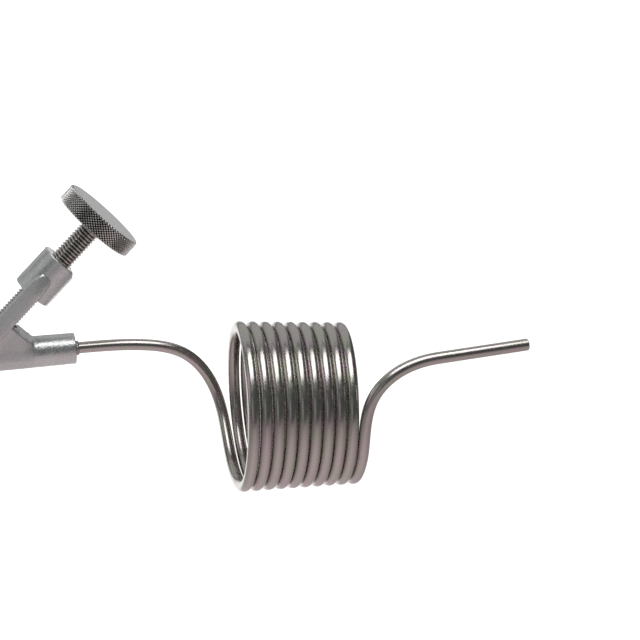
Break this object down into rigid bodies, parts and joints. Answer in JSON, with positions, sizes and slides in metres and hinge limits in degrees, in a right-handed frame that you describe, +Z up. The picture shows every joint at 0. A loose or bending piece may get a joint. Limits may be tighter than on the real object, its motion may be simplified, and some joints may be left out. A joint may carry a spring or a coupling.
{
  "type": "coiled-outlet sampling valve",
  "caption": "Hand-operated sampling valve: clamp ferrule inlet, 45 degree yoke stem with a knurled round knob, and a coiled rigid metal outlet tube with a straight open tail.",
  "frame": {"origin": "centre of the clamp ferrule's sealing face", "axes": "+X from the inlet through the spout towards the coil, +Z up, stem leaning 45 degrees from +X to +Z"},
  "size_m": [0.2562, 0.1035, 0.1328],
  "materials": {
    "cast_steel": "fine investment-cast grain, bead blasted",
    "turned_steel": "turned, satin",
    "ring_rubber": "matt moulded",
    "seat_ptfe": "machined, waxy",
    "thread_steel": "rolled thread, bright crests",
    "knob_steel": "matt face, diamond-knurled edge",
    "tube_steel": "drawn and polished tube"
  },
  "bodies": {
    "valve": {"valve_body": "cast_steel", "inlet_ferrule": "turned_steel", "coil_tube": "tube_steel", "coil_collar": "tube_steel"},
    "plunger": {"piston": "turned_steel", "piston_ring_low": "ring_rubber", "piston_ring_high": "ring_rubber", "seat_disc": "seat_ptfe"},
    "stem": {"spindle": "thread_steel", "handwheel": "knob_steel"}
  },
  "joints": [
    {"name": "plunger_lift", "type": "slide", "parent": "valve", "child": "plunger", "axis": [0.7071, 0, 0.7071], "range_m": [0, 0.00605]},
    {"name": "wheel_turn", "type": "hinge", "parent": "plunger", "child": "stem", "pos_m": [0.024, 0, 0], "axis": [0.7071, 0, 0.7071], "range_deg": [0, 1440]}
  ],
  "couplings": [
    {"joint": "plunger_lift", "follows": "wheel_turn", "m_per_rad": 0.00023873}
  ]
}
